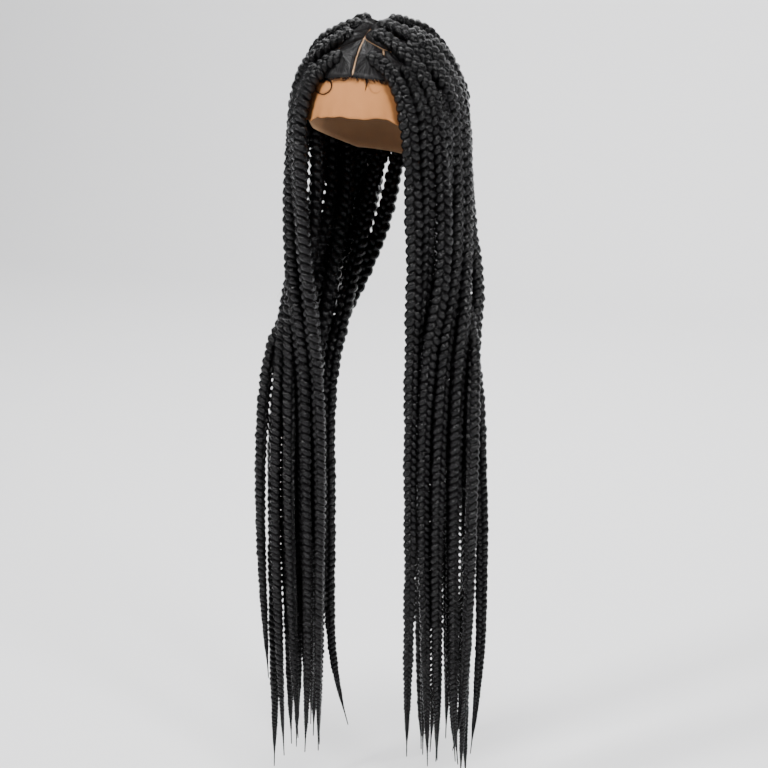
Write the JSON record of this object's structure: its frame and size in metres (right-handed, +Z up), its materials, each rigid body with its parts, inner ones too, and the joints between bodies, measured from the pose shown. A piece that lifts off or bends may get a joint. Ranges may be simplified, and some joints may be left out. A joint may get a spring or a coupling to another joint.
{
  "type": "braid wig",
  "caption": "Very long black jumbo box-braid wig on a lace cap, parted into boxes, with lace along the forehead and two groups of braids drawn forward.",
  "frame": {"origin": "crown seat: the inside top of the cap, where it rests on a head", "axes": "+Z up out of the crown, the face looks along -Y, the wearer's left is +X"},
  "size_m": [0.2545, 0.2052, 0.8399],
  "materials": {
    "cap_lace": "matte",
    "forehead_lace": "matte",
    "braid_hair": "satin"
  },
  "bodies": {
    "root": {"lace_cap_front_left": "cap_lace", "lace_cap_front_right": "cap_lace", "lace_cap_back_left": "cap_lace", "lace_cap_back_right": "cap_lace", "lace_front": "forehead_lace", "braid_left_01": "braid_hair", "braid_left_02": "braid_hair", "hair_left_03": "braid_hair", "braid_left_03": "braid_hair", "hair_left_04": "braid_hair", "braid_left_04": "braid_hair", "hair_left_05": "braid_hair", "braid_left_05": "braid_hair", "braid_left_06": "braid_hair", "hair_left_07": "braid_hair", "braid_left_07": "braid_hair", "braid_left_08": "braid_hair", "hair_left_09": "braid_hair", "braid_left_09": "braid_hair", "hair_left_10": "braid_hair", "braid_left_10": "braid_hair", "hair_left_11": "braid_hair", "braid_left_11": "braid_hair", "braid_left_12": "braid_hair", "hair_left_13": "braid_hair", "braid_left_13": "braid_hair", "hair_left_14": "braid_hair", "braid_left_14": "braid_hair", "hair_left_15": "braid_hair", "braid_left_15": "braid_hair", "braid_right_01": "braid_hair", "braid_right_02": "braid_hair", "hair_right_03": "braid_hair", "braid_right_03": "braid_hair", "hair_right_04": "braid_hair", "braid_right_04": "braid_hair", "hair_right_05": "braid_hair", "braid_right_05": "braid_hair", "braid_right_06": "braid_hair", "hair_right_07": "braid_hair", "braid_right_07": "braid_hair", "braid_right_08": "braid_hair", "hair_right_09": "braid_hair", "braid_right_09": "braid_hair", "hair_right_10": "braid_hair", "braid_right_10": "braid_hair", "hair_right_11": "braid_hair", "braid_right_11": "braid_hair", "braid_right_12": "braid_hair", "hair_right_13": "braid_hair", "braid_right_13": "braid_hair", "hair_right_14": "braid_hair", "braid_right_14": "braid_hair", "hair_right_15": "braid_hair", "braid_right_15": "braid_hair"}
  },
  "joints": []
}
